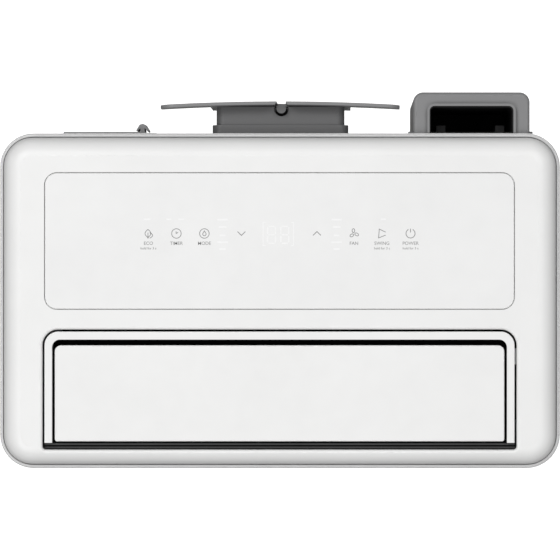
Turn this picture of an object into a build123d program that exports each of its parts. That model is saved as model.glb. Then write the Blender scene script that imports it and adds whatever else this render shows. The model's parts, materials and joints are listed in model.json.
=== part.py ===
from build123d import *

import os

# A floor-standing dehumidifier. Millimetres, +Z up, front towards -Y.
# The origin is on the floor under the centre of the whole unit.

# ---- driving dimensions -------------------------------------------------------------------
BODY_W = 500.0            # cabinet width
BODY_D = 299.0            # cabinet depth
TOP_Z = 690.0             # top surface above the floor
REAR_REACH = 37.0         # how far the rear pocket stands out behind the cabinet
CORNER_R = 30.0           # cabinet corner radius in plan
WALL = 3.0                # moulded wall thickness
SEAM = 0.5                # clearance between fixed mouldings

BODY_Y = -REAR_REACH / 2  # centre of the cabinet in depth
FRONT_Y = BODY_Y - BODY_D / 2
REAR_Y = BODY_Y + BODY_D / 2
SIDE_X = BODY_W / 2

PAN_Z = 50.0              # underside of the base pan
COVER_Z0 = 56.0           # lower edge of the covers
COVER_Z1 = 668.0          # upper edge of the covers
PARTING_Y = BODY_Y - 22.0  # front and rear covers meet here

RING_INSET = 1.0          # trim ring, in from the cabinet's side
RING_W = 2.3
RING_H = 5.0
PANEL_INSET = 4.1         # top panel, in from the cabinet's side
PANEL_Z0 = 670.0
CROWN_R = 17.0            # crowned edge of the top panel

# control panel, measured from the cabinet's centre
CONTROL_W = 417.2
CONTROL_Y0 = BODY_Y - 7.9
CONTROL_Y1 = BODY_Y + 114.0
CONTROL_R = 11.5
CONTROL_T = 2.5
CONTROL_GAP = 0.8         # seam round the control panel

# louvre opening
OUTLET_W = 420.2
OUTLET_Y0 = BODY_Y - 131.8
OUTLET_Y1 = BODY_Y - 25.4
OUTLET_R = 14.0
OUTLET_GAP = 1.8          # dark seam round the band
LIP_R = 2.4               # rounded front edge of the opening
MOUTH_W = 403.2
MOUTH_Y0 = BODY_Y - 125.0
MOUTH_Y1 = BODY_Y - 34.3
SILL_Z = 681.0
DUCT_Z1 = 684.0
DUCT_Z0 = 640.0

# louvre flap
FLAP_W = 398.6
FLAP_Y0 = BODY_Y - 124.6
FLAP_Y1 = BODY_Y - 39.4
FLAP_TOP = 688.6
FLAP_T = 2.6
FLAP_AXIS = (0.0, FLAP_Y1 - 10.0, 678.0)
FLAP_PIN_R = 3.0
RUNNING = 0.05            # radial clearance of a pin in its bore

# inside
DECK_Z = 294.0            # deck between the tank and the coils
DIVIDER_Y = -24.0         # wall behind the tank
FAN_Z = 436.0
FAN_R = 92.0
FAN_Y0, FAN_Y1 = -52.0, 18.0
SHAFT_R = 5.0
SCROLL_R = 128.0
SCROLL_Y0, SCROLL_Y1 = -62.0, 28.0
THROAT_Z = 572.0
COIL_Z0, COIL_Z1 = 324.0, 560.0
COIL_W = 340.0

# tank
TANK_W = 392.0
TANK_Y0, TANK_Y1 = FRONT_Y + 4.5, -30.0
TANK_Z0, TANK_Z1 = 78.0, 280.0
TANK_WALL = 2.5
PULL_W = 124.0            # finger recess that the tank is pulled out by
PULL_Z0, PULL_Z1 = 230.0, 264.0
PULL_Y = TANK_Y0 + 18.0
BAY_W = 410.0
BAY_Z0, BAY_Z1 = 74.0, 292.0

# rear openings
GRILLE_W = 404.0
GRILLE_Z0, GRILLE_Z1 = 286.0, 510.0
SPOOL_Z0, SPOOL_Z1 = 608.0, 656.0
FLANGE_Z0, FLANGE_Z1 = 588.0, 672.0
EAR_X, EAR_Z0 = 63.0, 644.0   # beside the drum the flange is only a pair of short ears
NOTCH_Z = 634.0           # floor of the notch at the flange's middle
POCKET_X0, POCKET_X1 = 119.0, 223.3
POCKET_Z0, POCKET_Z1 = 520.0, 668.0
DRAIN_X, DRAIN_Z = -150.0, 118.0
GLAND_X, GLAND_Z = 170.0, 110.0
DRAIN_R = 8.0
GRIP_Y0, GRIP_Y1 = BODY_Y + 6.0, BODY_Y + 116.0
GRIP_Z0, GRIP_Z1 = 560.0, 596.0

# casters, stored trailing to the front: the unit's weight sits towards the rear and turns them so
CASTER_X, CASTER_FRONT, CASTER_REAR = 205.0, FRONT_Y + 45.0, REAR_Y - 45.0
WHEEL_R, WHEEL_W, TRAIL = 20.0, 15.0, 14.0
STEM_R = 4.0
CASTERS = {
    "front_left": (-CASTER_X, CASTER_FRONT),
    "front_right": (CASTER_X, CASTER_FRONT),
    "rear_left": (-CASTER_X, CASTER_REAR),
    "rear_right": (CASTER_X, CASTER_REAR),
}


# ---- helpers ------------------------------------------------------------------------------
def block(x, y, z):
    """Box from (low, high) pairs."""
    (x0, x1), (y0, y1), (z0, z1) = x, y, z
    centre = Pos((x0 + x1) / 2, (y0 + y1) / 2, (z0 + z1) / 2)
    return centre * Box(x1 - x0, y1 - y0, z1 - z0)


def slab(x, y, z, radius):
    """Upright prism with a rounded rectangular plan."""
    (x0, x1), (y0, y1), (z0, z1) = x, y, z
    plan = RectangleRounded(x1 - x0, y1 - y0, radius)
    return Pos((x0 + x1) / 2, (y0 + y1) / 2, z0) * extrude(plan, z1 - z0)


def cabinet(inset, z0, z1):
    """Prism over the cabinet's plan, drawn in by inset."""
    half_w, half_d = SIDE_X - inset, BODY_D / 2 - inset
    return slab((-half_w, half_w), (BODY_Y - half_d, BODY_Y + half_d), (z0, z1), CORNER_R - inset)


def panel_y(x, y, z, radius):
    """Plate standing upright across Y, with rounded corners in its XZ outline."""
    (x0, x1), (y0, y1), (z0, z1) = x, y, z
    outline = Plane((0, 0, 0), x_dir=(1, 0, 0), z_dir=(0, 1, 0)) * RectangleRounded(x1 - x0, z1 - z0, radius)
    return Pos((x0 + x1) / 2, y0, (z0 + z1) / 2) * extrude(outline, y1 - y0)


def rod(axis, radius, start, end, a, b):
    """Cylinder along X, Y or Z between start and end; a and b are its other two coordinates."""
    length, middle = end - start, (start + end) / 2
    if axis == "X":
        return Pos(middle, a, b) * Rot(0, 90, 0) * Cylinder(radius, length)
    if axis == "Y":
        return Pos(a, middle, b) * Rot(90, 0, 0) * Cylinder(radius, length)
    return Pos(a, b, middle) * Cylinder(radius, length)


def span(count, low, high):
    """Evenly spaced values from low to high."""
    return [low + (high - low) * i / (count - 1) for i in range(count)]


def edges_at(part, axis, value, along=None):
    """Edges whose centre lies at a coordinate, within a hair."""
    found = [e for e in part.edges() if abs(getattr(e.center(), axis) - value) < 1e-3]
    return found if along is None else ShapeList(found).filter_by(along)


def pipe(points, bend, radius):
    """Round bar along straight runs joined by tangent arcs."""
    path = FilletPolyline(*points, radius=bend)
    return sweep(Plane(path @ 0, z_dir=path % 0) * Circle(radius), path)


# ---- outer shells -------------------------------------------------------------------------
def base_pan():
    tray = cabinet(WALL + SEAM, PAN_Z, PAN_Z + 20) - cabinet(WALL * 2 + SEAM, PAN_Z + 4, PAN_Z + 30)
    for x in (-160, 160):
        tray += block((x - 6, x + 6), (TANK_Y0 + 12, TANK_Y1 - 4), (PAN_Z + 4, TANK_Z0 - SEAM))
    for x, y in CASTERS.values():
        tray += rod("Z", 14, PAN_Z + 4, PAN_Z + 18, x, y)
        tray -= rod("Z", 8.1, PAN_Z - 1, PAN_Z + 30, x, y)
    return tray


def cover_shell():
    shell = cabinet(0, COVER_Z0, COVER_Z1)
    shell = fillet(edges_at(shell, "Z", COVER_Z0), 2.0)
    shell = chamfer(edges_at(shell, "Z", COVER_Z1), 0.6)
    return shell - cabinet(WALL, COVER_Z0 - 5, COVER_Z1 + 5)


def front_cover(shell):
    part = shell & block((-300, 300), (FRONT_Y - 5, PARTING_Y), (0, TOP_Z))
    bay = panel_y((-BAY_W / 2, BAY_W / 2), (FRONT_Y - 5, FRONT_Y + 20), (BAY_Z0, BAY_Z1), 12)
    return part - bay


def rear_cover(shell):
    part = shell & block((-300, 300), (PARTING_Y + 0.4, REAR_Y + 5), (0, TOP_Z))
    half = GRILLE_W / 2 + 1
    part -= panel_y((-half, half), (REAR_Y - 10, REAR_Y + 5), (GRILLE_Z0 - 1, GRILLE_Z1 + 1), 11)
    for side in (-1, 1):
        low, high = sorted((side * (SIDE_X - 10), side * (SIDE_X + 5)))
        part -= block((low, high), (GRIP_Y0, GRIP_Y1), (GRIP_Z0, GRIP_Z1))
    part -= rod("Y", DRAIN_R + 1.1, REAR_Y - 10, REAR_Y + 5, DRAIN_X, DRAIN_Z)
    part -= rod("Y", 9.1, REAR_Y - 10, REAR_Y + 5, GLAND_X, GLAND_Z)
    for x, z in screw_places():
        part -= rod("Y", 1.9, REAR_Y - 10, REAR_Y + 5, x, z)
    return in_bands(part, (0, GRIP_Z0, GRIP_Z1, TOP_Z))


def in_bands(part, levels):
    """The same shape as solids that meet at the given heights, so each stays simple to collide with."""
    solids = []
    for z0, z1 in zip(levels, levels[1:]):
        solids += (part & block((-300, 300), (-300, 300), (z0, z1))).solids()
    return Compound(children=solids)


def screw_places():
    rows = (80.0, 230.0, 300.0, 600.0)
    return [(x, z) for z in rows for x in (-216.0, 216.0) if not (x > 0 and z > 500)] + [(80.0, 600.0)]


def trim_ring():
    outer = RING_INSET
    ring = cabinet(outer, COVER_Z1, COVER_Z1 + RING_H)
    ring = fillet(edges_at(ring, "Z", COVER_Z1 + RING_H), 0.9)
    ring -= cabinet(outer + RING_W, COVER_Z1 + 1.2, COVER_Z1 + 20)
    return ring - cabinet(12, COVER_Z1 - 5, COVER_Z1 + 5)


def top_panel():
    panel = cabinet(PANEL_INSET, PANEL_Z0, TOP_Z)
    panel = fillet(edges_at(panel, "Z", TOP_Z), CROWN_R)
    hollow = cabinet(PANEL_INSET + WALL, PANEL_Z0 - 5, TOP_Z - WALL)
    hollow = fillet(edges_at(hollow, "Z", TOP_Z - WALL), CROWN_R - WALL)
    panel -= hollow
    seat = CONTROL_T + 0.2
    half = CONTROL_W / 2
    under = slab((-half - 6, half + 6), (CONTROL_Y0 - 6, CONTROL_Y1 + 6),
                 (TOP_Z - seat - WALL, TOP_Z - 1), CONTROL_R + 6)
    panel += under
    panel -= slab((-half, half), (CONTROL_Y0, CONTROL_Y1), (TOP_Z - seat, TOP_Z + 1), CONTROL_R)
    half = OUTLET_W / 2
    cut = slab((-half, half), (OUTLET_Y0, OUTLET_Y1), (PANEL_Z0 - 5, TOP_Z + 5), 3)
    cut = cut - block((-half - 1, half + 1), (OUTLET_Y1 - OUTLET_R, OUTLET_Y1 + 1), (0, TOP_Z + 9))
    cut += slab((-half, half), (OUTLET_Y0 + 20, OUTLET_Y1), (PANEL_Z0 - 5, TOP_Z + 5), OUTLET_R)
    panel -= cut
    lip = [e for e in edges_at(panel, "Y", OUTLET_Y0, Axis.X) if e.center().Z > TOP_Z - 2]
    return fillet(lip, LIP_R)


def control_panel():
    half = CONTROL_W / 2 - CONTROL_GAP
    sheet = slab((-half, half), (CONTROL_Y0 + CONTROL_GAP, CONTROL_Y1 - CONTROL_GAP),
                 (TOP_Z - CONTROL_T, TOP_Z - 0.1), CONTROL_R - CONTROL_GAP)
    return fillet(edges_at(sheet, "Z", TOP_Z - 0.1), 0.5)


def display_board():
    board = block((-140, 140), (CONTROL_Y0 + 20, CONTROL_Y1 - 10), (676, 677.6))
    for x in span(9, -120, 120):
        board += block((x - 5, x + 5), (CONTROL_Y0 + 60, CONTROL_Y0 + 70), (677.6, 680))
    return board


# ---- outlet -------------------------------------------------------------------------------
def outlet_frame():
    half = OUTLET_W / 2 - OUTLET_GAP
    y0, y1 = OUTLET_Y0 + OUTLET_GAP, OUTLET_Y1 - OUTLET_GAP
    band = slab((-half, half), (y0 + 20, y1), (DUCT_Z1, TOP_Z - 0.4), OUTLET_R - OUTLET_GAP)
    band += slab((-half, half), (y0, y1 - 20), (DUCT_Z1, TOP_Z - 0.4), 1.8)
    band = fillet(edges_at(band, "Z", TOP_Z - 0.4), 0.8)
    inner = MOUTH_W / 2
    mouth = slab((-inner, inner), (MOUTH_Y0 - 40, MOUTH_Y1), (DUCT_Z1 - 5, TOP_Z + 5), 7)
    band -= mouth
    return band - block((-300, 300), (y0 - 5, MOUTH_Y0 - 0.8), (DUCT_Z1 - 5, TOP_Z + 5))


def outlet_sill():
    half = OUTLET_W / 2 - 0.4
    sill = block((-half, half), (OUTLET_Y0 + 0.4, MOUTH_Y0 - 1.2), (SILL_Z - 6, SILL_Z))
    groove = block((-half + 3, half - 3), (OUTLET_Y0 + 2.6, MOUTH_Y0 - 3.2), (SILL_Z - 2, SILL_Z + 1))
    return sill - groove


def duct_section(width, y0, y1, z, wall=0.0):
    plan = Rectangle(width + 2 * wall, y1 - y0 + 2 * wall)
    return Pos(0, (y0 + y1) / 2, z) * plan


def outlet_duct():
    y0, y1 = MOUTH_Y0 + 0.4, MOUTH_Y1 - 0.4
    width = MOUTH_W - 0.4
    throat = (-60.0, 24.0)
    wall = 2.6
    outer = loft([duct_section(214, *throat, THROAT_Z, wall), duct_section(width, y0, y1, DUCT_Z0, wall)])
    inner = loft([duct_section(214, *throat, THROAT_Z), duct_section(width, y0, y1, DUCT_Z0)])
    duct = outer - inner
    upper = slab((-width / 2 - wall, width / 2 + wall), (y0 - wall, y1 + wall), (DUCT_Z0, DUCT_Z1), 8)
    upper -= block((-width / 2, width / 2), (y0, y1), (DUCT_Z0 - 1, DUCT_Z1 + 1))
    duct += upper
    axis_y, axis_z = FLAP_AXIS[1], FLAP_AXIS[2]
    duct -= rod("X", FLAP_PIN_R + RUNNING, -230, 230, axis_y, axis_z)
    return duct - block((-300, 300), (y0 - 5, y0 + 1), (SILL_Z - 6.4, TOP_Z))


def outlet_guard():
    y0, y1 = MOUTH_Y0 + 1.0, MOUTH_Y1 - 1.0
    half = MOUTH_W / 2 - 0.8
    guard = block((-half, half), (y0, y0 + 4), (646, 656)) + block((-half, half), (y1 - 4, y1), (646, 656))
    for x in span(27, -half + 1, half - 1):
        guard += block((x - 1, x + 1), (y0, y1), (646, 656))
    for y in span(3, y0 + 22, y1 - 22):
        guard += block((-half, half), (y - 1, y + 1), (648, 653))
    return guard


def louver_flap():
    half = FLAP_W / 2
    plate = slab((-half, half), (FLAP_Y0, FLAP_Y1 - 15), (FLAP_TOP - FLAP_T, FLAP_TOP), 2)
    plate += slab((-half, half), (FLAP_Y0 + 15, FLAP_Y1), (FLAP_TOP - FLAP_T, FLAP_TOP), 5.5)
    plate = fillet(edges_at(plate, "Z", FLAP_TOP), 1.1)
    under = FLAP_TOP - FLAP_T
    for y, depth in ((FLAP_Y0 + 3, 4.0), (FLAP_Y0 + 30, 3.5), (FLAP_Y0 + 55, 3.5)):
        plate += block((-half + 4, half - 4), (y, y + 2), (under - depth, under))
    for x in span(9, -half + 24, half - 24):
        plate += block((x - 1, x + 1), (FLAP_Y0 + 4, FLAP_Y1 - 6), (under - 3, under))
    axis_y, axis_z = FLAP_AXIS[1], FLAP_AXIS[2]
    for side in (-1, 1):
        low, high = sorted((side * (half - 0.5), side * (half - 7)))
        plate += block((low, high), (axis_y - 5, axis_y + 5), (axis_z, under))
        plate += rod("X", 5, low, high, axis_y, axis_z)
    return plate - rod("X", FLAP_PIN_R, -300, 300, axis_y, axis_z)


def louver_pins():
    half = FLAP_W / 2
    axis_y, axis_z = FLAP_AXIS[1], FLAP_AXIS[2]
    pins = []
    for side in (-1, 1):
        low, high = sorted((side * (half - 7), side * (half + 7.5)))
        pins.append(rod("X", FLAP_PIN_R, low, high, axis_y, axis_z))
    return Compound(children=pins)


def louver_motor():
    x0 = MOUTH_W / 2 + 2.6
    axis_y, axis_z = FLAP_AXIS[1], FLAP_AXIS[2]
    body = block((x0, x0 + 14), (axis_y - 7, axis_y + 7), (axis_z - 8, axis_z + 5.6))
    body += rod("X", 5.4, x0 + 14, x0 + 32, axis_y, axis_z)
    body += block((x0, x0 + 2), (axis_y - 16, axis_y + 16), (axis_z - 8, axis_z - 2))
    return body - rod("X", FLAP_PIN_R + RUNNING, x0 - 1, x0 + 8, axis_y, axis_z)


# ---- air path -----------------------------------------------------------------------------
def scroll_outline(grow):
    """Round drum joined to an upright throat, in the XZ plane."""
    drum = Pos(0, FAN_Z) * Circle(SCROLL_R + grow)
    top = THROAT_Z + (1 if grow == 0 else 0)
    throat = Pos(0, (FAN_Z + top) / 2) * Rectangle(214 + 2 * grow, top - FAN_Z)
    return Plane((0, 0, 0), x_dir=(1, 0, 0), z_dir=(0, -1, 0)) * (drum + throat)


def fan_scroll():
    wall = 2.6
    outer = Pos(0, SCROLL_Y1, 0) * extrude(scroll_outline(wall), SCROLL_Y1 - SCROLL_Y0)
    inner = Pos(0, SCROLL_Y1 - wall, 0) * extrude(scroll_outline(0), SCROLL_Y1 - SCROLL_Y0 - 2 * wall)
    case = outer - inner
    case += rod("Y", 84, SCROLL_Y1, SCROLL_Y1 + 6, 0, FAN_Z)
    case -= rod("Y", 78, SCROLL_Y1 - 10, SCROLL_Y1 + 10, 0, FAN_Z)
    return case - rod("Y", 30.1, SCROLL_Y0 - 5, SCROLL_Y0 + 10, 0, FAN_Z)


def fan_wheel():
    hub_r = 16
    back = rod("Y", FAN_R, FAN_Y0, FAN_Y0 + 2.5, 0, FAN_Z)
    rim = rod("Y", FAN_R, FAN_Y1 - 3, FAN_Y1, 0, FAN_Z)
    rim -= rod("Y", FAN_R - 15, FAN_Y1 - 9, FAN_Y1 + 5, 0, FAN_Z)
    wheel = back + rim + rod("Y", hub_r, FAN_Y0, FAN_Y0 + 34, 0, FAN_Z)
    count = 30
    blade = block((FAN_R - 15, FAN_R - 2), (FAN_Y0 + 2, FAN_Y1 - 2), (-1, 1))
    for i in range(count):
        turn = Pos(0, 0, FAN_Z) * Rot(0, 360 / count * i, 0) * Pos(FAN_R - 8.5, 0, 0) * Rot(0, 28, 0)
        wheel += turn * Pos(-FAN_R + 8.5, 0, 0) * blade
    return wheel - rod("Y", SHAFT_R, FAN_Y0 - 5, FAN_Y0 + 50, 0, FAN_Z)


def fan_shaft():
    shaft = rod("Y", SHAFT_R, FAN_Y0 - 44, FAN_Y0 + 40, 0, FAN_Z)
    return shaft + rod("Y", 9, FAN_Y0 + 34, FAN_Y0 + 41, 0, FAN_Z)


def fan_motor():
    front = SCROLL_Y0 - 52
    body = rod("Y", 48, front, SCROLL_Y0 - 4, 0, FAN_Z)
    body = fillet(edges_at(body, "Y", front), 6)
    body += rod("Y", 30, SCROLL_Y0 - 4, SCROLL_Y0 + 2.6, 0, FAN_Z)
    for i in range(4):
        lug = block((-9, 9), (SCROLL_Y0 - 4, SCROLL_Y0), (46, 66))
        body += Pos(0, 0, FAN_Z) * Rot(0, 45 + 90 * i, 0) * lug
    return body - rod("Y", SHAFT_R + RUNNING, front + 12, SCROLL_Y0 + 10, 0, FAN_Z)


def coil_rows(pitch=29.0):
    return [COIL_Z0 + 16 + pitch * i for i in range(8)]


def coil_fins(y0, y1):
    half = COIL_W / 2
    pack = block((-half, half), (y0, y1), (COIL_Z0, COIL_Z1))
    for x in span(48, -half + 6, half - 6):
        pack -= block((x - 1.6, x + 1.6), (y1 - 2.5, y1 + 1), (COIL_Z0 - 1, COIL_Z1 + 1))
    for z in coil_rows():
        pack -= rod("X", 4.6, -half - 1, half + 1, (y0 + y1) / 2, z)
    return pack


def coil_tubes(y):
    half = COIL_W / 2
    rows = coil_rows()
    corners = []
    for index, z in enumerate(rows):
        ends = [(-half - 14, y, z), (half + 14, y, z)]
        corners += ends if index % 2 == 0 else ends[::-1]
    return pipe(corners, 12.0, 4.3)


def drip_tray():
    tray = slab((-188, 188), (36, 116), (DECK_Z + 4, DECK_Z + 22), 6)
    tray -= slab((-185.5, 185.5), (38.5, 113.5), (DECK_Z + 6.5, DECK_Z + 30), 4)
    tray += block((-14, 14), (-44, 38), (DECK_Z + 4, DECK_Z + 11))
    tray -= block((-11, 11), (-41, 40), (DECK_Z + 6.5, DECK_Z + 12))
    tray += rod("Z", 8, DECK_Z - 4, DECK_Z + 8, 0, -33)
    return tray - rod("Z", 6, DECK_Z - 10, DECK_Z + 20, 0, -33)


def partition_plate():
    deck = block((-236, 236), (FRONT_Y + 10, REAR_Y - 22), (DECK_Z, DECK_Z + 2.5))
    for x in (-236, 236):
        low, high = (x, x + 22) if x < 0 else (x - 22, x)
        deck -= block((low, high), (FRONT_Y, FRONT_Y + 32), (0, TOP_Z))
    deck -= rod("Z", 9, DECK_Z - 5, DECK_Z + 5, 0, -33)
    deck -= block((-180, -60), (2, 60), (DECK_Z - 5, DECK_Z + 5))
    wall = block((-236, 236), (DIVIDER_Y, DIVIDER_Y + 2), (PAN_Z + 4.2, DECK_Z + 1))
    for x in (-160, 160):
        wall -= block((x - 7, x + 7), (DIVIDER_Y - 5, DIVIDER_Y + 5), (0, TANK_Z0 + 1))
    return deck + wall


# ---- refrigerant circuit ------------------------------------------------------------------
COMPRESSOR = (-110.0, 48.0)
ACCUMULATOR = (-32.0, 48.0)


def compressor():
    x, y = COMPRESSOR
    can = rod("Z", 52, 72, 232, x, y)
    can = fillet(edges_at(can, "Z", 232) + edges_at(can, "Z", 72), 14)
    can += block((x - 18, x + 18), (y - 14, y + 14), (228, 244))
    plate = slab((x - 62, x + 62), (y - 58, y + 70), (68, 72), 20)
    can += plate + rod("Z", 40, 70, 90, x, y)
    for px, py in mount_places():
        can -= rod("Z", 5.2, 60, 80, px, py)
    return can


def mount_places():
    x, y = COMPRESSOR
    return [(x - 50, y - 46), (x + 50, y - 46), (x, y + 61)]


def compressor_mounts():
    feet = []
    for x, y in mount_places():
        foot = rod("Z", 9, PAN_Z + 4, 67.8, x, y) + rod("Z", 5, 60, 76, x, y)
        feet.append(foot + rod("Z", 7, 72.2, 76, x, y))
    return Compound(children=feet)


def accumulator():
    x, y = ACCUMULATOR
    can = rod("Z", 19, 110, 226, x, y)
    can = fillet(edges_at(can, "Z", 226) + edges_at(can, "Z", 110), 9)
    return can + rod("Z", 5, 224, 236, x, y)


def refrigerant_pipes():
    cx, cy = COMPRESSOR
    ax, ay = ACCUMULATOR
    discharge = pipe([(cx - 24, cy, 233), (cx - 24, cy, 262), (cx - 24, 14, 262), (cx - 24, 14, 338),
                      (-196, 14, 338), (-196, 50, 338)], 12.0, 4)
    suction = pipe([(ax, ay, 236.5), (ax, ay, 266), (ax - 34, ay, 266), (ax - 34, 10, 266),
                    (ax - 34, 10, 312), (-206, 10, 312), (-206, 94, 312)], 12.0, 4)
    link = pipe([(ax, ay, 109.5), (ax, ay, 96), (ax - 25, ay, 96)], 8.0, 4)
    return Compound(children=[discharge, suction, link])


# ---- electrical parts ---------------------------------------------------------------------
def electrical_box():
    box = block((-236, -146), (-98, 0), (330, 500))
    return box - block((-233.5, -148.5), (-95.5, 5), (332.5, 497.5))


def power_board():
    board = block((-230, -228.4), (-92, -4), (340, 490))
    for z, size in ((360, 14), (390, 10), (425, 18), (465, 12)):
        board += block((-228.4, -228.4 + size), (-80, -80 + size * 2), (z, z + size))
    return board


def run_capacitor():
    can = rod("Z", 17, 340, 410, -184, -40)
    return fillet(edges_at(can, "Z", 410), 2) + block((-188, -180), (-44, -36), (409, 416))


def humidity_sensor():
    return block((206, 226), (96, 108), (470, 500)) + block((210, 222), (108, 110), (474, 496))


# ---- intake -------------------------------------------------------------------------------
def intake_grille():
    half = GRILLE_W / 2
    z0, z1 = GRILLE_Z0, GRILLE_Z1
    plate = panel_y((-half, half), (REAR_Y - 5, REAR_Y - 0.4), (z0, z1), 10)
    plate -= panel_y((-half + 10, half - 10), (REAR_Y - 10, REAR_Y + 5), (z0 + 10, z1 - 10), 4)
    for z in span(22, z0 + 19, z1 - 19):
        plate += block((-half + 9, half - 9), (REAR_Y - 5, REAR_Y - 0.8), (z - 1.6, z + 1.6))
    for x in span(5, -half + 76, half - 76):
        plate += block((x - 1.5, x + 1.5), (REAR_Y - 5, REAR_Y - 2), (z0 + 9, z1 - 9))
    return plate


def filter_frame():
    half = GRILLE_W / 2 - 4
    z0, z1 = GRILLE_Z0 + 4, GRILLE_Z1 - 4
    frame = block((-half, half), (REAR_Y - 9.5, REAR_Y - 5.2), (z0, z1))
    frame -= block((-half + 8, half - 8), (REAR_Y - 12, REAR_Y), (z0 + 8, z1 - 8))
    for x in span(4, -half + 80, half - 80):
        frame += block((x - 1.5, x + 1.5), (REAR_Y - 9.5, REAR_Y - 7.5), (z0 + 7, z1 - 7))
    return frame


def filter_mesh():
    half = GRILLE_W / 2 - 12.4
    return block((-half, half), (REAR_Y - 7.2, REAR_Y - 6.2), (GRILLE_Z0 + 12.4, GRILLE_Z1 - 12.4))


# ---- rear fittings ------------------------------------------------------------------------
def cord_spool():
    drum = panel_y((-61, 61), (REAR_Y + 0.1, REAR_Y + 8), (SPOOL_Z0, SPOOL_Z1), 8)
    drum += panel_y((-57.5, 57.5), (REAR_Y + 8, REAR_Y + 24.6), (SPOOL_Z0 + 2, SPOOL_Z1 - 2), 7)
    drum -= rod("Z", 6.5, NOTCH_Z + 2, SPOOL_Z1 + 5, 1, REAR_Y + 22.4)
    return drum + rod("Z", 4.2, NOTCH_Z + 1, SPOOL_Z1 + 6, 1, REAR_Y + 22.4)


def cord_flange():
    bow = 1850.0
    reach = REAR_Y + 28.3
    outer = Pos(0, reach - bow) * Circle(bow)
    inner = Pos(0, reach - bow) * Circle(bow - 2.8)
    plan = (outer - inner) & (Pos(0, reach - 3) * Rectangle(214, 20))
    plate = Pos(0, 0, FLANGE_Z0) * extrude(plan, FLANGE_Z1 - FLANGE_Z0)
    corners = [e for e in plate.edges() if e.length < 5 and abs(e.center().X) > 100]
    plate = fillet([e for e in corners if abs(e.center().Z - (FLANGE_Z0 + FLANGE_Z1) / 2) > 5], 12)
    for side in (-1, 1):
        low, high = sorted((side * EAR_X, side * 120))
        plate -= block((low, high), (reach - 20, reach + 5), (FLANGE_Z0 - 5, EAR_Z0))
    plate -= block((-3, 5), (reach - 8, reach + 5), (NOTCH_Z, FLANGE_Z1 + 5))
    return plate - rod("Z", 6.5, NOTCH_Z, FLANGE_Z1 + 5, 1, REAR_Y + 22.4)


def cord_hook():
    x, z0, z1 = -123.7, 628.0, 654.0
    stem = block((x - 1.9, x + 1.9), (REAR_Y + 0.1, REAR_Y + 7), (z0, z1))
    head = Polygon((x, REAR_Y + 9.3), (x + 2.6, REAR_Y + 8.4), (x + 5.75, REAR_Y + 3.2),
                   (x + 4.6, REAR_Y + 2.4), (x + 1.2, REAR_Y + 6.2), (x - 1.2, REAR_Y + 6.2),
                   (x - 4.6, REAR_Y + 2.4), (x - 5.75, REAR_Y + 3.2), (x - 2.6, REAR_Y + 8.4), align=None)
    strip = block((-194, x + 3), (REAR_Y + 0.1, REAR_Y + 1.6), (z0 - 30, COVER_Z1 - 8))
    return strip + stem + Pos(0, 0, z0) * extrude(head, z1 - z0, dir=(0, 0, 1))


def rear_pocket():
    x0, x1, y1 = POCKET_X0, POCKET_X1, REAR_Y + REAR_REACH
    z0, z1 = POCKET_Z0, POCKET_Z1
    y0 = REAR_Y + 0.1
    outer = slab((x0, x1), (y0 - 30, y1), (z0, z1 - 5), 9)
    outer = fillet(edges_at(outer, "Z", z1 - 5), 3)
    cx0, cx1, cy1 = x0 + 14.6, x1 - 14.8, y1 - 12.5
    outer += slab((cx0 - 2, cx1 + 2), (y0 - 30, cy1 + 2), (z0 + 20, z1), 6.5)
    outer -= slab((cx0, cx1), (y0 - 30, cy1), (z0 + 8, z1 + 5), 4.5)
    outer -= block((0, 300), (y0 - 60, y0), (0, TOP_Z))
    base = block((x0 - 4, x1 + 3), (y0, y0 + 2), (z0 + 6, z1 - 12))
    return outer + (base - block((cx0, cx1), (y0 - 1, y0 + 3), (z0 + 8, z1)))


def pocket_liner():
    """Thin black cup inside the pocket, with two ribs that grip what is put in."""
    x0, x1 = POCKET_X0 + 14.7, POCKET_X1 - 14.9
    y0, y1 = REAR_Y + 0.2, REAR_Y + REAR_REACH - 12.6
    z0, z1 = POCKET_Z0 + 8.1, POCKET_Z1 - 2
    cup = slab((x0, x1), (y0 - 30, y1), (z0, z1), 4.4)
    cup -= slab((x0 + 0.9, x1 - 0.9), (y0 - 30, y1 - 0.9), (z0 + 1.5, z1 + 5), 3.5)
    cup -= block((0, 300), (y0 - 60, y0), (0, TOP_Z))
    cup += block((x0 + 0.5, x1 - 0.5), (y0, y0 + 0.9), (z0, z1))
    for x in (POCKET_X0 + 21.6, POCKET_X0 + 74.8):
        cup += block((x, x + 8), (y0, y0 + 8.2), (z0 + 1, z1 - 30))
    return cup


def cord_gland():
    gland = rod("Y", 9, REAR_Y - 8, REAR_Y + 1, GLAND_X, GLAND_Z)
    gland += rod("Y", 12, REAR_Y + 0.1, REAR_Y + 3, GLAND_X, GLAND_Z)
    gland = fillet(edges_at(gland, "Y", REAR_Y + 3), 1)
    return gland - rod("Y", 4, REAR_Y - 20, REAR_Y + 20, GLAND_X, GLAND_Z)


def drain_spout():
    spout = rod("Y", DRAIN_R, REAR_Y - 20, REAR_Y + 20, DRAIN_X, DRAIN_Z)
    spout += rod("Y", DRAIN_R + 5, REAR_Y + 0.1, REAR_Y + 2, DRAIN_X, DRAIN_Z)
    return spout - rod("Y", DRAIN_R - 2, REAR_Y - 30, REAR_Y + 30, DRAIN_X, DRAIN_Z)


def drain_plug():
    end = REAR_Y + 20
    head = rod("Y", DRAIN_R - 0.5, end + 0.3, end + 6, DRAIN_X, DRAIN_Z)
    head = fillet(edges_at(head, "Y", end + 6), 1.2)
    for i in range(12):
        groove = rod("Y", 0.7, end + 1.5, end + 7, DRAIN_R - 0.3, 0)
        head -= Pos(DRAIN_X, 0, DRAIN_Z) * Rot(0, 30 * i, 0) * groove
    return head + rod("Y", DRAIN_R - 2 - RUNNING, end - 12, end + 1, DRAIN_X, DRAIN_Z)


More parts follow.
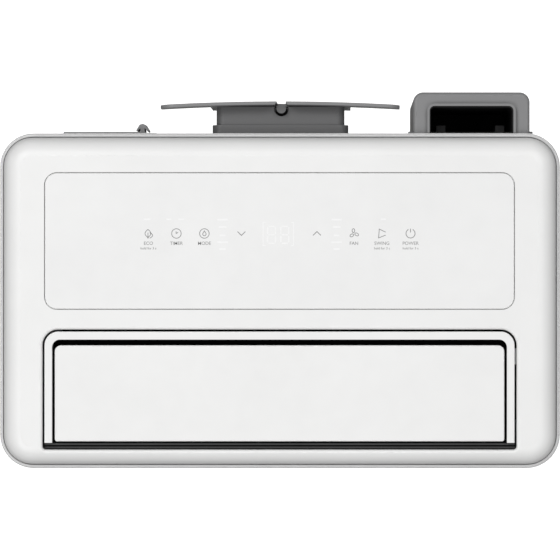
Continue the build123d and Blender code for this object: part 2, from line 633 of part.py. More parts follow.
def housing_screws():
    screws = []
    for x, z in screw_places():
        head = rod("Y", 3.6, REAR_Y + 0.05, REAR_Y + 2.4, x, z)
        head = fillet(edges_at(head, "Y", REAR_Y + 2.4), 1.2)
        head += rod("Y", 1.7, REAR_Y - 9, REAR_Y + 1, x, z)
        for turn in (0, 90):
            slot = block((-2.1, 2.1), (REAR_Y + 1.3, REAR_Y + 3), (-0.4, 0.4))
            head -= Pos(x, 0, z) * Rot(0, turn, 0) * slot
        screws.append(head)
    return Compound(children=screws)


def hand_grips():
    cups = []
    for side in (-1, 1):
        low, high = sorted((side * (SIDE_X - 27), side * (SIDE_X - 3.2)))
        cup = block((low, high), (GRIP_Y0 - 6, GRIP_Y1 + 6), (GRIP_Z0 - 6, GRIP_Z1 + 6))
        low, high = sorted((side * (SIDE_X - 5), side * (SIDE_X - 0.8)))
        cup += block((low, high), (GRIP_Y0 + 0.3, GRIP_Y1 - 0.3), (GRIP_Z0 + 0.3, GRIP_Z1 - 0.3))
        low, high = sorted((side * (SIDE_X - 24), side * (SIDE_X + 5)))
        inside = block((low, high), (GRIP_Y0 + 2.5, GRIP_Y1 - 2.5), (GRIP_Z0 + 2.5, GRIP_Z1 - 2.5))
        cups.append(cup - inside)
    return Compound(children=cups)


# ---- water tank ---------------------------------------------------------------------------
def water_tank():
    half = TANK_W / 2
    tub = slab((-half, half), (TANK_Y0, TANK_Y1), (TANK_Z0, TANK_Z1), 16)
    tub = fillet(edges_at(tub, "Z", TANK_Z0), 5)
    inside_x, inside_y = half - TANK_WALL, (TANK_Y0 + TANK_WALL, TANK_Y1 - TANK_WALL)
    tub -= slab((-inside_x, inside_x), inside_y, (TANK_Z0 + 3, TANK_Z1 + 5), 16 - TANK_WALL)
    for x in (-148, -92):
        tub += block((x - 1.5, x + 1.5), (TANK_Y1 - 26, TANK_Y1 - 2), (TANK_Z0 + 2, TANK_Z1 - 30))
    cup_x = PULL_W / 2 + TANK_WALL
    cup_z = (PULL_Z0 - TANK_WALL, PULL_Z1 + TANK_WALL)
    tub += panel_y((-cup_x, cup_x), (TANK_Y0, PULL_Y + TANK_WALL), cup_z, 14)
    tub -= panel_y((-PULL_W / 2, PULL_W / 2), (TANK_Y0 - 5, PULL_Y), (PULL_Z0, PULL_Z1), 12)
    window = panel_y((112, 136), (FRONT_Y, TANK_Y0 + 4), (108, 246), 10)
    return tub - window


def tank_front():
    half = BAY_W / 2 - 1.4
    plate = panel_y((-half, half), (FRONT_Y + 0.3, FRONT_Y + 4.4), (BAY_Z0 + 1.4, BAY_Z1 - 1.4), 11)
    plate = fillet(edges_at(plate, "Y", FRONT_Y + 0.3), 1)
    plate -= panel_y((112, 136), (FRONT_Y - 5, TANK_Y0 + 5), (108, 246), 10)
    return plate - panel_y((-PULL_W / 2, PULL_W / 2), (FRONT_Y - 5, FRONT_Y + 9), (PULL_Z0, PULL_Z1), 12)


def tank_window():
    pane = panel_y((112.4, 135.6), (FRONT_Y + 1.2, TANK_Y0 + 2.5), (108.4, 245.6), 9.6)
    return pane


def tank_lid():
    half = TANK_W / 2
    lid = slab((-half, half), (TANK_Y0, TANK_Y1), (TANK_Z1 + 0.1, TANK_Z1 + 3), 16)
    lid += slab((-half + 3, half - 3), (TANK_Y0 + 3, TANK_Y1 - 3), (TANK_Z1 - 5, TANK_Z1 + 1), 13)
    lid -= slab((-half + 5, half - 5), (TANK_Y0 + 5, TANK_Y1 - 5), (TANK_Z1 - 10, TANK_Z1 + 0.5), 11)
    lid -= slab((-34, 34), (TANK_Y1 - 42, TANK_Y1 - 8), (TANK_Z1 - 10, TANK_Z1 + 9), 8)
    return lid - slab((80, 176), (TANK_Y0 + 12, TANK_Y0 + 60), (TANK_Z1 - 10, TANK_Z1 + 9), 10)


def tank_handle():
    y0, y1 = -112.0, -92.0
    bar = block((-78, 78), (y0, y1), (TANK_Z1 + 7.0, TANK_Z1 + 10.4))
    for x in (-78, 66):
        bar += block((x, x + 12), (y0, y1), (TANK_Z1 + 3.1, TANK_Z1 + 8))
    return bar


def tank_float():
    body = block((-143, -97), (TANK_Y1 - 25, TANK_Y1 - 4), (TANK_Z0 + 3.2, TANK_Z0 + 30))
    return fillet(body.edges().filter_by(Axis.Z), 3)


# ---- casters ------------------------------------------------------------------------------
def caster_sockets():
    cups = []
    for x, y in CASTERS.values():
        cup = rod("Z", 8, PAN_Z - 2.2, 76, x, y) + rod("Z", 12, PAN_Z - 2.2, PAN_Z - 0.1, x, y)
        cups.append(cup - rod("Z", STEM_R + RUNNING, PAN_Z - 5, 72.5, x, y))
    return Compound(children=cups)


def caster_fork(x, y):
    wheel_y = y - TRAIL
    crown_z = 2 * WHEEL_R + 2
    fork = slab((x - 12, x + 12), (wheel_y - 9, y + 12), (crown_z, crown_z + 4), 8)
    for side in (-1, 1):
        low, high = sorted((x + side * 9, x + side * 12))
        leg = block((low, high), (wheel_y - 8, y + 5), (WHEEL_R, crown_z + 1))
        fork += leg + rod("X", 8, low, high, wheel_y, WHEEL_R)
    fork += rod("X", 3, x - 12, x + 12, wheel_y, WHEEL_R)
    fork += rod("Z", STEM_R, crown_z + 3, 70, x, y)
    return fork + rod("Z", 7, crown_z + 3, crown_z + 4.8, x, y)


def caster_wheel(x, y):
    wheel_y = y - TRAIL
    half = WHEEL_W / 2
    wheel = rod("X", WHEEL_R, x - half, x + half, wheel_y, WHEEL_R)
    wheel = fillet(edges_at(wheel, "X", x - half) + edges_at(wheel, "X", x + half), 3)
    for side in (-1, 1):
        low, high = sorted((x + side * (half - 2), x + side * (half + 5)))
        dish = rod("X", 14, low, high, wheel_y, WHEEL_R) - rod("X", 5.5, low - 1, high + 1, wheel_y, WHEEL_R)
        wheel -= dish
    return wheel - rod("X", 3 + RUNNING, x - 20, x + 20, wheel_y, WHEEL_R)


# ---- all nodes ----------------------------------------------------------------------------
def all_nodes():
    shell = cover_shell()
    nodes = {"front_cover": front_cover(shell), "rear_cover": rear_cover(shell)}
    makers = [base_pan, trim_ring, top_panel, control_panel, display_board, outlet_frame,
              outlet_sill, outlet_duct, outlet_guard, louver_flap, louver_pins, louver_motor,
              fan_scroll, fan_wheel, fan_shaft, fan_motor, drip_tray, partition_plate,
              compressor, compressor_mounts, accumulator, refrigerant_pipes, electrical_box,
              power_board, run_capacitor, humidity_sensor, intake_grille, filter_frame,
              filter_mesh, cord_spool, cord_flange, cord_hook, rear_pocket, pocket_liner,
              cord_gland, drain_spout, drain_plug, housing_screws, hand_grips, water_tank,
              tank_front, tank_window, tank_lid, tank_handle, tank_float, caster_sockets]
    for maker in makers:
        nodes[maker.__name__] = maker()
    nodes["evaporator_fins"] = coil_fins(82, 106)
    nodes["evaporator_tubes"] = coil_tubes(94)
    nodes["condenser_fins"] = coil_fins(44, 70)
    nodes["condenser_tubes"] = coil_tubes(57)
    for place, (x, y) in CASTERS.items():
        nodes[f"caster_fork_{place}"] = caster_fork(x, y)
        nodes[f"caster_wheel_{place}"] = caster_wheel(x, y)
    return nodes


os.makedirs("parts", exist_ok=True)
for name, shape in all_nodes().items():
    export_step(shape, f"parts/{name}.step")
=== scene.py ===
import json
import math

import bmesh
import bpy
from mathutils import Matrix, Vector


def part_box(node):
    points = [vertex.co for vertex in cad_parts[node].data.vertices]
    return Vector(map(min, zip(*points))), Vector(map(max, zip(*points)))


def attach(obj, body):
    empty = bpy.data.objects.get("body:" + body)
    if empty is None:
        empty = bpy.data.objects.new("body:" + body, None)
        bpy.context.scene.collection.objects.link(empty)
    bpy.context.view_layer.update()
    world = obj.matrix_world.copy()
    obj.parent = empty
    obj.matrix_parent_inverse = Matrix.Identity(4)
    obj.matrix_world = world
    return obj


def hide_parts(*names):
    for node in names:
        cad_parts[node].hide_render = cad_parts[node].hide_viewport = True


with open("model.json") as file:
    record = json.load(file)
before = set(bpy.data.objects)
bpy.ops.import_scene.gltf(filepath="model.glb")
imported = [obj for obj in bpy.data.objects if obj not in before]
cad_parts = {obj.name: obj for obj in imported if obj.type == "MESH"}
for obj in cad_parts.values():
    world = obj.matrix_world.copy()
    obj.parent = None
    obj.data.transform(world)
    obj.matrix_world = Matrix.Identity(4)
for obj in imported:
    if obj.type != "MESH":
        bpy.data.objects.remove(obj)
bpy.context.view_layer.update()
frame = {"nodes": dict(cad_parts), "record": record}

MM = 0.001


# ---- where things are ---------------------------------------------------------------------
def low(node):
    return Vector(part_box(node)[0])


def high(node):
    return Vector(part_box(node)[1])


def middle(node):
    return (low(node) + high(node)) / 2


CABINET_X = (low("rear_cover").x, high("rear_cover").x)
CABINET_Y = (low("front_cover").y, high("trim_ring").y + 1.0 * MM)
BODY_Y = sum(CABINET_Y) / 2
PANEL_TOP = high("control_panel").z
TOP_Z = high("top_panel").z


# ---- materials ----------------------------------------------------------------------------
class Shader:
    """A Principled material with object-space noise for its colour, roughness and relief."""

    def __init__(self, name, color, roughness=0.4, metallic=0.0):
        self.material = bpy.data.materials.new(name)
        self.material.use_nodes = True
        self.nodes = self.material.node_tree.nodes
        self.links = self.material.node_tree.links
        self.bsdf = self.nodes["Principled BSDF"]
        self.color = color
        self.bsdf.inputs["Base Color"].default_value = (*color, 1)
        self.bsdf.inputs["Roughness"].default_value = roughness
        self.bsdf.inputs["Metallic"].default_value = metallic
        self.material.diffuse_color = (*color, 1)
        self.coords = self.nodes.new("ShaderNodeTexCoord").outputs["Object"]
        self.normal = None

    def noise(self, size_mm, stretch=(1, 1, 1), detail=4.0, rough=0.55):
        """Noise whose features are about size_mm across."""
        scale = self.nodes.new("ShaderNodeMapping")
        scale.inputs["Scale"].default_value = [1 / s for s in stretch]
        self.links.new(self.coords, scale.inputs["Vector"])
        node = self.nodes.new("ShaderNodeTexNoise")
        node.inputs["Scale"].default_value = 1000.0 / size_mm
        node.inputs["Detail"].default_value = detail
        node.inputs["Roughness"].default_value = rough
        self.links.new(scale.outputs["Vector"], node.inputs["Vector"])
        return node.outputs["Fac"]

    def ranged(self, value, low_out, high_out, low_in=0.3, high_in=0.7):
        node = self.nodes.new("ShaderNodeMapRange")
        node.inputs["From Min"].default_value = low_in
        node.inputs["From Max"].default_value = high_in
        node.inputs["To Min"].default_value = low_out
        node.inputs["To Max"].default_value = high_out
        self.links.new(value, node.inputs["Value"])
        return node.outputs["Result"]

    def mottle(self, size_mm, amount, tint=(0, 0, 0), stretch=(1, 1, 1)):
        """Colour that drifts between a darker and a lighter shade of the base."""
        ramp = self.nodes.new("ShaderNodeValToRGB")
        dark = [max(0.0, c * (1 - amount) + t) for c, t in zip(self.color, tint)]
        light = [min(1.0, c * (1 + amount)) for c in self.color]
        ramp.color_ramp.elements[0].position = 0.32
        ramp.color_ramp.elements[1].position = 0.68
        ramp.color_ramp.elements[0].color = (*dark, 1)
        ramp.color_ramp.elements[1].color = (*light, 1)
        self.links.new(self.noise(size_mm, stretch), ramp.inputs["Fac"])
        self.links.new(ramp.outputs["Color"], self.bsdf.inputs["Base Color"])
        return self

    def rough(self, size_mm, low_out, high_out, stretch=(1, 1, 1)):
        self.links.new(self.ranged(self.noise(size_mm, stretch), low_out, high_out),
                       self.bsdf.inputs["Roughness"])
        return self

    def relief(self, size_mm, depth_mm, strength=0.5, stretch=(1, 1, 1), detail=3.0):
        """Bump on top of any earlier bump."""
        bump = self.nodes.new("ShaderNodeBump")
        bump.inputs["Strength"].default_value = strength
        bump.inputs["Distance"].default_value = depth_mm * MM
        self.links.new(self.noise(size_mm, stretch, detail), bump.inputs["Height"])
        if self.normal is not None:
            self.links.new(self.normal, bump.inputs["Normal"])
        self.normal = bump.outputs["Normal"]
        self.links.new(self.normal, self.bsdf.inputs["Normal"])
        return self

    def set(self, **sockets):
        for name, value in sockets.items():
            self.bsdf.inputs[name.replace("_", " ")].default_value = value
        return self


def moulded(name, color, roughness, grain=0.02, gloss=0.5):
    """Injection-moulded plastic: even colour, fine spark grain, slow roughness drift."""
    shader = Shader(name, color, roughness)
    shader.mottle(60, 0.012)
    shader.rough(14, roughness - 0.05, roughness + 0.06)
    shader.relief(90, 0.06, 0.08, detail=1.0)
    shader.relief(1.1, grain, 0.30, detail=1.0)
    return shader.set(Specular_IOR_Level=gloss)


def metal(name, color, roughness, stretch=(1, 1, 1)):
    """Metal with fine drawn or rolled marks along one direction."""
    shader = Shader(name, color, roughness, metallic=1.0)
    shader.mottle(25, 0.08)
    shader.rough(2.0, roughness - 0.09, roughness + 0.1, stretch)
    return shader.relief(0.8, 0.012, 0.4, stretch)


def speckled(name, color, roughness, amount, size_mm=3.0, grain=0.05):
    """Rubber, foam or coarse plastic with a dusty, uneven face."""
    shader = Shader(name, color, roughness)
    shader.mottle(size_mm, amount, tint=(0.004, 0.004, 0.004))
    shader.rough(5, roughness - 0.08, roughness + 0.08)
    return shader.relief(0.9, grain, 0.6)


def translucent(name, color, roughness, alpha, transmission):
    shader = Shader(name, color, roughness)
    shader.mottle(40, 0.03)
    shader.rough(9, roughness - 0.04, roughness + 0.06)
    shader.relief(50, 0.2, 0.12, detail=1.0)
    return shader.set(Alpha=alpha, Transmission_Weight=transmission, IOR=1.49)


def make_materials():
    """One finish for each material slot of the record."""
    white = (0.79, 0.79, 0.785)
    return {
        "white_shell": moulded("white_shell", white, 0.38, 0.012),
        "white_panel": moulded("white_panel", (0.785, 0.785, 0.782), 0.36, 0.004),
        "flap_white": moulded("flap_white", (0.795, 0.795, 0.79), 0.34, 0.010),
        "trim_grey": moulded("trim_grey", (0.60, 0.60, 0.60), 0.32, 0.008),
        "grey_moulding": moulded("grey_moulding", (0.195, 0.195, 0.198), 0.48, 0.03),
        "dark_moulding": moulded("dark_moulding", (0.094, 0.094, 0.096), 0.48, 0.03),
        "black_moulding": moulded("black_moulding", (0.014, 0.014, 0.0145), 0.6, 0.03, gloss=0.2),
        "pan_grey": moulded("pan_grey", (0.07, 0.07, 0.073), 0.55, 0.04),
        "sheet_steel": metal("sheet_steel", (0.58, 0.59, 0.60), 0.36, (1, 8, 1)),
        "fin_stock": metal("fin_stock", (0.74, 0.75, 0.76), 0.30, (1, 1, 12)),
        "copper_pipe": metal("copper_pipe", (0.70, 0.34, 0.20), 0.27, (6, 1, 1)),
        "compressor_black": speckled("compressor_black", (0.014, 0.014, 0.016), 0.36, 0.25, 1.6, 0.03),
        "fan_grey": moulded("fan_grey", (0.09, 0.095, 0.10), 0.5, 0.03),
        "foam_tray": speckled("foam_tray", (0.72, 0.72, 0.70), 0.6, 0.04, 2.2, 0.08),
        "circuit_board": speckled("circuit_board", (0.02, 0.12, 0.05), 0.34, 0.2, 2.0, 0.02),
        "capacitor_can": metal("capacitor_can", (0.70, 0.70, 0.71), 0.33, (1, 1, 5)),
        "tank_translucent": translucent("tank_translucent", (0.50, 0.56, 0.60), 0.3, 0.75, 0.25),
        "window_clear": translucent("window_clear", (0.62, 0.68, 0.72), 0.1, 0.55, 0.5),
        "float_white": speckled("float_white", (0.76, 0.76, 0.74), 0.62, 0.05, 1.4, 0.1),
        "rubber_black": speckled("rubber_black", (0.018, 0.018, 0.018), 0.72, 0.3, 2.6, 0.05),
        "wheel_grey": moulded("wheel_grey", (0.05, 0.05, 0.052), 0.45, 0.02),
        "caster_black": speckled("caster_black", (0.014, 0.014, 0.015), 0.42, 0.12, 1.4, 0.015),
        "steel_pin": metal("steel_pin", (0.60, 0.60, 0.61), 0.22, (10, 1, 1)),
        "screw_steel": metal("screw_steel", (0.44, 0.44, 0.45), 0.30),
        "mesh_grey": speckled("mesh_grey", (0.16, 0.165, 0.17), 0.7, 0.2, 0.8, 0.05),
    }


def paint(piece, slot):
    piece.data.materials.clear()
    piece.data.materials.append(MATERIALS[slot].material)


MATERIALS = make_materials()
NODE_SLOT = {part["node"]: part["material_slot"] for part in frame["record"]["subparts"]}
for node_name, node_object in frame["nodes"].items():
    materials = node_object.data.materials
    for index in range(max(1, len(materials))):
        if index < len(materials):
            materials[index] = MATERIALS[NODE_SLOT[node_name]].material
        else:
            materials.append(MATERIALS[NODE_SLOT[node_name]].material)

# Painted shade: the steel louver pins are coloured near-black so they sink into the dark gap beside the flap
# instead of glinting.
shade_dark_pin = metal("pin_painted_shade", (0.03, 0.03, 0.032), 0.45, (10, 1, 1))
frame["nodes"]["louver_pins"].data.materials[0] = shade_dark_pin.material


# ---- mesh helpers -------------------------------------------------------------------------
def mesh_object(name, build, body, slot):
    """A new piece whose mesh is filled in by build(bm)."""
    bm = bmesh.new()
    build(bm)
    bmesh.ops.recalc_face_normals(bm, faces=bm.faces)
    mesh = bpy.data.meshes.new(name)
    bm.to_mesh(mesh)
    bm.free()
    piece = bpy.data.objects.new(name, mesh)
    bpy.context.scene.collection.objects.link(piece)
    paint(piece, slot)
    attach(piece, body)
    return piece


def prism(bm, outline, z0, z1):
    """Upright prism over a closed plan outline."""
    lower = [bm.verts.new((x, y, z0)) for x, y in outline]
    upper = [bm.verts.new((x, y, z1)) for x, y in outline]
    bm.faces.new(lower[::-1])
    bm.faces.new(upper)
    for i in range(len(outline)):
        j = (i + 1) % len(outline)
        bm.faces.new((lower[i], lower[j], upper[j], upper[i]))


def ribbon(bm, points, width, z0, z1, closed=False):
    """Flat line of even width along points in plan."""
    points = [Vector(p) for p in points]
    count = len(points)
    left, right = [], []
    for i, point in enumerate(points):
        before = points[(i - 1) % count] if closed or i else point
        after = points[(i + 1) % count] if closed or i < count - 1 else point
        incoming = (point - before).normalized() if point != before else (after - point).normalized()
        outgoing = (after - point).normalized() if after != point else incoming
        across = Vector((-(incoming.y + outgoing.y), incoming.x + outgoing.x)).normalized()
        reach = width / 2 / max(0.5, across.dot(Vector((-incoming.y, incoming.x))))
        left.append(point + across * reach)
        right.append(point - across * reach)
    for i in range(count if closed else count - 1):
        j = (i + 1) % count
        prism(bm, [left[i], left[j], right[j], right[i]], z0, z1)


def arc(cx, cy, radius, start, end, steps=24):
    """Points on an arc, in degrees."""
    turns = [math.radians(start + (end - start) * i / steps) for i in range(steps + 1)]
    return [(cx + radius * math.cos(t), cy + radius * math.sin(t)) for t in turns]


# ---- marks on the control panel -----------------------------------------------------------
MARK_Z = (PANEL_TOP + 0.01 * MM, PANEL_TOP + 0.05 * MM)
ICON_Y = 41.2 * MM
LINE = 0.68 * MM


def shifted(points, x, y):
    return [(x + px * MM, y + py * MM) for px, py in points]


def icon_leaf(bm, x, y):
    for sign in (-1, 1):
        curve = [(sign * 2.6 * math.sin(math.pi * t / 10) - 0.4, -3.6 + 0.72 * t) for t in range(11)]
        ribbon(bm, shifted(curve, x, y), LINE, *MARK_Z)
    ribbon(bm, shifted([(-0.4, -4.6), (-0.4, 0.8)], x, y), LINE, *MARK_Z)
    curve = [(1.2 + 2.6 * math.sin(math.pi * t / 8), -4.2 + 0.62 * t) for t in range(9)]
    ribbon(bm, shifted(curve, x, y), LINE, *MARK_Z)


def icon_clock(bm, x, y):
    ribbon(bm, arc(x, y, 4.2 * MM, 0, 360, 40)[:-1], LINE, *MARK_Z, closed=True)
    ribbon(bm, shifted([(-0.3, 1.9), (-0.2, 0.0), (1.5, 1.1)], x, y), LINE, *MARK_Z)


def icon_drop(bm, x, y):
    ribbon(bm, arc(x, y, 4.2 * MM, 0, 360, 40)[:-1], LINE, *MARK_Z, closed=True)
    drop = [(0, 2.3)] + [(px / MM, py / MM) for px, py in arc(0, -0.5 * MM, 1.5 * MM, 25, -205, 18)]
    ribbon(bm, shifted(drop, x, y), LINE, *MARK_Z, closed=True)


def icon_chevron(direction):
    def draw(bm, x, y):
        tip = 1.7 * direction
        ribbon(bm, shifted([(-3.5, -tip), (0, tip), (3.5, -tip)], x, y), LINE * 1.1, *MARK_Z)
    return draw


def icon_fan(bm, x, y):
    for turn in (90, 210, 330):
        facing = math.radians(turn)
        blade = []
        for t in range(13):
            angle = math.pi * 2 * t / 12
            along, across = 2.5 + 1.8 * math.cos(angle), 1.15 * math.sin(angle) + 0.5
            blade.append((along * math.cos(facing) - across * math.sin(facing),
                          along * math.sin(facing) + across * math.cos(facing)))
        ribbon(bm, shifted(blade[:-1], x, y), LINE, *MARK_Z, closed=True)


def icon_swing(bm, x, y):
    ribbon(bm, shifted([(3.3, 1.2), (-2.4, 3.9), (-3.0, -3.9), (3.3, -1.4)], x, y), LINE, *MARK_Z)


def icon_power(bm, x, y):
    ribbon(bm, arc(x, y, 4.0 * MM, 118, 422, 36), LINE * 1.1, *MARK_Z)
    ribbon(bm, shifted([(0, 4.3), (0, 0.9)], x, y), LINE * 1.1, *MARK_Z)


def label(words, x, y, tall):
    """Printed word on the panel: Blender's own font, as a thin mesh."""
    curve = bpy.data.curves.new("label", "FONT")
    curve.body, curve.size, curve.offset = words, tall / 0.7, 0.03 * MM
    curve.align_x, curve.align_y = "CENTER", "CENTER"
    holder = bpy.data.objects.new("label", curve)
    bpy.context.scene.collection.objects.link(holder)
    bpy.context.view_layer.update()
    mesh = bpy.data.meshes.new_from_object(holder)
    bpy.data.objects.remove(holder)
    mesh.transform(Matrix.Translation((x, y, MARK_Z[1])))
    return mesh


# icon, x in mm, word, whether a longer press has its own function
KEYS = [
    (icon_leaf, -116.1, "ECO", True), (icon_clock, -91.3, "TIMER", False), (icon_drop, -66.5, "MODE", False),
    (icon_chevron(-1), -33.7, "", False), (icon_chevron(1), 33.2, "", False), (icon_fan, 66.0, "FAN", False),
    (icon_swing, 90.8, "SWING", True), (icon_power, 116.1, "POWER", True),
]


def draw_keys(bm):
    for icon, x, word, long_press in KEYS:
        icon(bm, x * MM, ICON_Y)
        if word:
            bm.from_mesh(label(word, x * MM, ICON_Y - 8.8 * MM, 2.9 * MM))
        if long_press:
            bm.from_mesh(label("hold for 3 s", x * MM, ICON_Y - 13.2 * MM, 2.1 * MM))


def draw_lights(bm):
    """Unlit indicator windows: two scales, a two-digit display and single lamps."""
    for x in (-50.4, 50.7):
        for row, y in enumerate((72.0, 65.5, 58.0, 52.0, 46.0)):
            half = (4.6, 3.4, 2.6, 4.8, 2.8)[row]
            ribbon(bm, shifted([(x - half, y), (x + half, y)], 0, BODY_Y), 1.5 * MM, *MARK_Z)
    for x, half in ((-117.0, 3.0), (-98.0, 2.2), (-87.0, 2.6), (92.0, 2.2)):
        ribbon(bm, shifted([(x - half, 72.3), (x + half, 72.3)], 0, BODY_Y), 1.3 * MM, *MARK_Z)
    for left in (-10.5, 1.2):
        for bar in digit_bars(left, 51.0, 7.0, 15.0):
            ribbon(bm, shifted(bar, 0, BODY_Y), 1.1 * MM, *MARK_Z)
    for sign, x in ((1, -14.5), (-1, 12.5)):
        bracket = [(x + sign * 2.2, 69.5), (x, 69.5), (x, 49.0), (x + sign * 2.2, 49.0)]
        ribbon(bm, shifted(bracket, 0, BODY_Y), 0.8 * MM, *MARK_Z)


def digit_bars(left, bottom, wide, tall):
    """The seven bars of one digit."""
    right, top, half = left + wide, bottom + tall, bottom + tall / 2
    gap = 0.8
    bars = [[(left + gap, y), (right - gap, y)] for y in (bottom, half, top)]
    for x in (left, right):
        bars += [[(x, bottom + gap), (x, half - gap)], [(x, half + gap), (x, top - gap)]]
    return bars


MATERIALS["key_ink"] = Shader("key_ink", (0.27, 0.27, 0.27), 0.5).mottle(2, 0.1).relief(0.5, 0.004, 0.3)
MATERIALS["lamp_window"] = Shader("lamp_window", (0.845, 0.845, 0.843), 0.36)
MATERIALS["lamp_window"].mottle(3, 0.02).relief(0.8, 0.004, 0.2)

# Painted shade: a dark grey for strips along the edges of the channel in front of the flap, and a near-black
# for the channel itself.
MATERIALS["edge_shade_grey"] = moulded("edge_shade_grey", (0.042, 0.042, 0.043), 0.6, 0.02)
MATERIALS["sill_painted_shade"] = moulded("sill_painted_shade", (0.005, 0.005, 0.005), 0.6, 0.03, gloss=0.15)

keys = mesh_object("key_marks", draw_keys, "cabinet", "key_ink")
lights = mesh_object("indicator_windows", draw_lights, "cabinet", "lamp_window")


# ---- turned and stacked pieces ------------------------------------------------------------
def lathe(bm, profile, centre, steps=64):
    """Turns a closed (along, radius) profile round an axis through centre, parallel to X."""
    rings = []
    for step in range(steps):
        angle = 2 * math.pi * step / steps
        ring = []
        for along, radius in profile:
            y, z = radius * math.cos(angle), radius * math.sin(angle)
            ring.append(bm.verts.new((centre.x + along, centre.y + y, centre.z + z)))
        rings.append(ring)
    for step in range(steps):
        here, there = rings[step], rings[(step + 1) % steps]
        for i in range(len(profile)):
            j = (i + 1) % len(profile)
            bm.faces.new((here[i], there[i], there[j], here[j]))


def rounded_profile(half_width, inner, outer, corner, groove=0.0):
    """Closed profile of a ring with round outer corners and an optional tread groove."""
    points = [(-half_width, inner)]
    for sign in (-1, 1):
        for t in range(7):
            angle = math.pi / 2 * t / 6
            if sign < 0:
                offset = (-math.cos(angle), math.sin(angle))
            else:
                offset = (math.sin(angle), math.cos(angle))
            points.append((sign * (half_width - corner) + offset[0] * corner,
                           outer - corner + offset[1] * corner))
        if sign < 0 and groove:
            for x, drop in ((-1.3, 0), (-0.9, groove), (0.9, groove), (1.3, 0)):
                points.append((x * MM, outer - drop))
    points.append((half_width, inner))
    return points


def smooth(piece, angle=35.0):
    """Shades the piece smoothly except over sharp edges."""
    mesh = piece.data
    mesh.polygons.foreach_set("use_smooth", [True] * len(mesh.polygons))
    mesh.set_sharp_from_angle(angle=math.radians(angle))
    return piece


def cuboid(bm, near, far):
    (x0, y0, z0), (x1, y1, z1) = near, far
    prism(bm, [(x0, y0), (x1, y0), (x1, y1), (x0, y1)], z0, z1)


def wheel(place):
    """Rubber tyre on a ribbed hub, in place of the plain rolling solid."""
    node = f"caster_wheel_{place}"
    centre = middle(node)
    half = (high(node).x - low(node).x) / 2
    radius = (high(node).z - low(node).z) / 2

    def build_tyre(bm):
        lathe(bm, rounded_profile(half, radius * 0.74, radius, 3.0 * MM, 0.7 * MM), centre, 96)

    def build_hub(bm):
        flange = half - 0.8 * MM
        lathe(bm, rounded_profile(flange, radius * 0.64, radius * 0.745, 0.6 * MM), centre)
        lathe(bm, rounded_profile(1.4 * MM, 4.5 * MM, radius * 0.65, 0.3 * MM), centre)
        lathe(bm, rounded_profile(half, 3.1 * MM, 5.4 * MM, 0.6 * MM), centre)
        for spoke in range(6):
            turn = Matrix.Rotation(math.pi / 3 * spoke, 4, "X")
            start = len(bm.verts)
            cuboid(bm, (-half + 1.8 * MM, -0.6 * MM, 5.0 * MM), (half - 1.8 * MM, 0.6 * MM, radius * 0.65))
            bm.verts.ensure_lookup_table()
            for vert in bm.verts[start:]:
                vert.co = turn @ vert.co + centre

    body = f"wheel_{place}"
    tyre = smooth(mesh_object(f"tyre_{place}", build_tyre, body, "rubber_black"))
    hub = smooth(mesh_object(f"hub_{place}", build_hub, body, "wheel_grey"))
    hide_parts(node)
    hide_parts(node)


for corner_name in ("front_left", "front_right", "rear_left", "rear_right"):
    wheel(corner_name)


def fin_stack(node, name, count=116):
    """Thin crimped plates between two end plates."""
    near, far = low(node), high(node)
    end_plate, margin, inset = 1.2 * MM, 1.5 * MM, 1 * MM
    crimp, sheet, waves = 0.35 * MM, 0.18 * MM, 6

    def build(bm):
        pitch = (far.x - near.x - 2 * margin) / (count - 1)
        for i in range(count):
            x = near.x + margin + pitch * i
            edge = []
            for w in range(waves + 1):
                y = near.y + (far.y - near.y) * w / waves
                edge.append((x + (crimp if w % 2 else -crimp), y))
            outline = edge + [(px + sheet, py) for px, py in edge[::-1]]
            prism(bm, outline, near.z + inset, far.z - inset)
        for x in (near.x, far.x - end_plate):
            cuboid(bm, (x, near.y, near.z), (x + end_plate, far.y, far.z))

    piece = mesh_object(name, build, "cabinet", "fin_stock")
    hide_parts(node)


fin_stack("evaporator_fins", "evaporator_fin_stack")
fin_stack("condenser_fins", "condenser_fin_stack")


def filter_net():
    """Woven net: crossing threads that pass over and under each other."""
    near, far = low("filter_mesh"), high("filter_mesh")
    pitch, half = 3.0 * MM, 0.22 * MM
    y = (near.y + far.y) / 2

    def thread(bm, along_x, place, start, end, phase):
        steps = int((end - start) / pitch)
        previous = None
        for step in range(steps + 1):
            at = start + (end - start) * step / steps
            lift = half * 0.9 * (1 if (step + phase) % 2 else -1)
            corners = []
            for a, b in ((-half, -half), (half, -half), (half, half), (-half, half)):
                spot = (at, y + lift + b, place + a) if along_x else (place + a, y + lift + b, at)
                corners.append(bm.verts.new(spot))
            if previous:
                for i in range(4):
                    j = (i + 1) % 4
                    bm.faces.new((previous[i], previous[j], corners[j], corners[i]))
            else:
                bm.faces.new(corners[::-1])
            previous = corners
        bm.faces.new(previous)

    def build(bm):
        for i in range(1, int((far.z - near.z) / pitch)):
            thread(bm, True, near.z + pitch * i, near.x, far.x, i)
        for i in range(1, int((far.x - near.x) / pitch)):
            thread(bm, False, near.x + pitch * i, near.z, far.z, i + 1)

    piece = mesh_object("filter_net", build, "filter", "mesh_grey")
    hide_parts("filter_mesh")


filter_net()


def window_ticks(bm):
    """Level marks beside the tank's window."""
    near, far = low("tank_window"), high("tank_window")
    face = low("tank_front").y
    for i in range(9):
        z = near.z + (far.z - near.z) * (0.1 + 0.1 * i)
        wide = (5.0 if i % 4 == 0 else 2.8) * MM
        cuboid(bm, (near.x - 3 * MM - wide, face - 0.03 * MM, z - 0.3 * MM),
               (near.x - 3 * MM, face + 0.02 * MM, z + 0.3 * MM))


ticks = mesh_object("level_ticks", window_ticks, "tank", "key_ink")


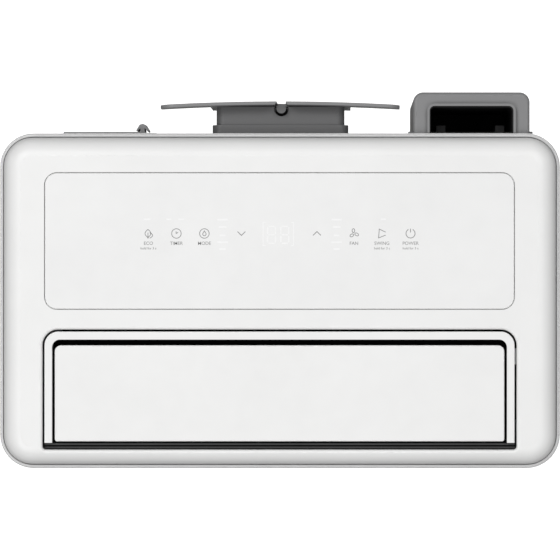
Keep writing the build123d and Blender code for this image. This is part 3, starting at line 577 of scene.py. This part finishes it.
def sill_edge_shade_strips(bm):
    """Low grey strips along both long edges of the channel in front of the flap: painted half-shade of its
    shaded edges.
    """
    near, far = low("outlet_sill"), high("outlet_sill")
    wide, tall, inset = 1.5 * MM, 0.5 * MM, 0.3 * MM
    for y in (near.y + inset, far.y - inset - wide):
        cuboid(bm, (near.x + inset, y, far.z), (far.x - inset, y + wide, far.z + tall))


# Painted shade: grey strips standing for the half-shaded edges of the channel.
sill_edge_shade_piece = mesh_object("sill_edge_shade_strips", sill_edge_shade_strips, "cabinet", "edge_shade_grey")
# Painted shade: the channel in front of the flap is coloured near-black to stand for the shadow down in it.
frame["nodes"]["outlet_sill"].data.materials[0] = MATERIALS["sill_painted_shade"].material


# ---- stage --------------------------------------------------------------------------------
def make_floor():
    mesh = bpy.data.meshes.new("floor")
    size = 9.0
    corners = [(-size, -size, 0), (size, -size, 0), (size, size, 0), (-size, size, 0)]
    mesh.from_pydata(corners, [], [(0, 1, 2, 3)])
    floor = bpy.data.objects.new("floor", mesh)
    bpy.context.scene.collection.objects.link(floor)
    shader = Shader("floor", (0.85, 0.85, 0.85), 0.9).mottle(400, 0.01)
    shader.set(Emission_Color=(1, 1, 1, 1), Emission_Strength=0.72)
    mesh.materials.append(shader.material)
    floor.visible_diffuse = False
    floor.visible_glossy = False


def make_light(name, size, energy, place, aim):
    data = bpy.data.lights.new(name, "AREA")
    data.shape = "RECTANGLE"
    data.size, data.size_y = size
    data.energy = energy
    light = bpy.data.objects.new(name, data)
    bpy.context.scene.collection.objects.link(light)
    light.location = place
    light.rotation_euler = (Vector(aim) - Vector(place)).to_track_quat("-Z", "Y").to_euler()


LAMP_REACH, LAMP_TILT, LAMP_SIZE, LAMP_POWER = 4.4, math.radians(31), 1.8, 50.2


def make_lamps():
    """Four large soft lamps round the camera, tilted off vertical, the rear left one brightest."""
    side = LAMP_REACH * math.sin(LAMP_TILT) / math.sqrt(2)
    top = TOP_Z + LAMP_REACH * math.cos(LAMP_TILT)
    size = (LAMP_SIZE, LAMP_SIZE)
    for name, x, y, share in (("rear_left", -1, 1, 1.4), ("rear_right", 1, 1, 0.9),
                              ("front_left", -1, -1, 1.05), ("front_right", 1, -1, 0.65)):
        make_light(f"lamp_{name}", size, LAMP_POWER * share, (x * side, y * side, top), (0, 0, TOP_Z))


WORLD_STRENGTH = 0.235


def make_world(strength):
    world = bpy.data.worlds.new("studio")
    world.use_nodes = True
    background = world.node_tree.nodes["Background"]
    background.inputs["Color"].default_value = (1, 1, 1, 1)
    background.inputs["Strength"].default_value = strength
    bpy.context.scene.world = world


CAMERA_ASIDE = 60 * MM      # the picture is taken from this far right of the middle


def make_camera():
    """Straight down over the cabinet, rear edge at the top of the picture."""
    data = bpy.data.cameras.new("camera")
    data.lens, data.sensor_width = 200.0, 36.0
    rim = high("rear_cover").z
    width = CABINET_X[1] - CABINET_X[0]
    distance = width * data.lens / data.sensor_width
    camera = bpy.data.objects.new("camera", data)
    bpy.context.scene.collection.objects.link(camera)
    camera.location = (CAMERA_ASIDE, 0, rim + distance)
    data.shift_x = -CAMERA_ASIDE / distance * data.lens / data.sensor_width
    camera.rotation_euler = (0, 0, 0)
    bpy.context.scene.camera = camera


make_floor()
make_world(WORLD_STRENGTH)
make_lamps()
make_camera()
bpy.context.scene.view_settings.view_transform = "Standard"
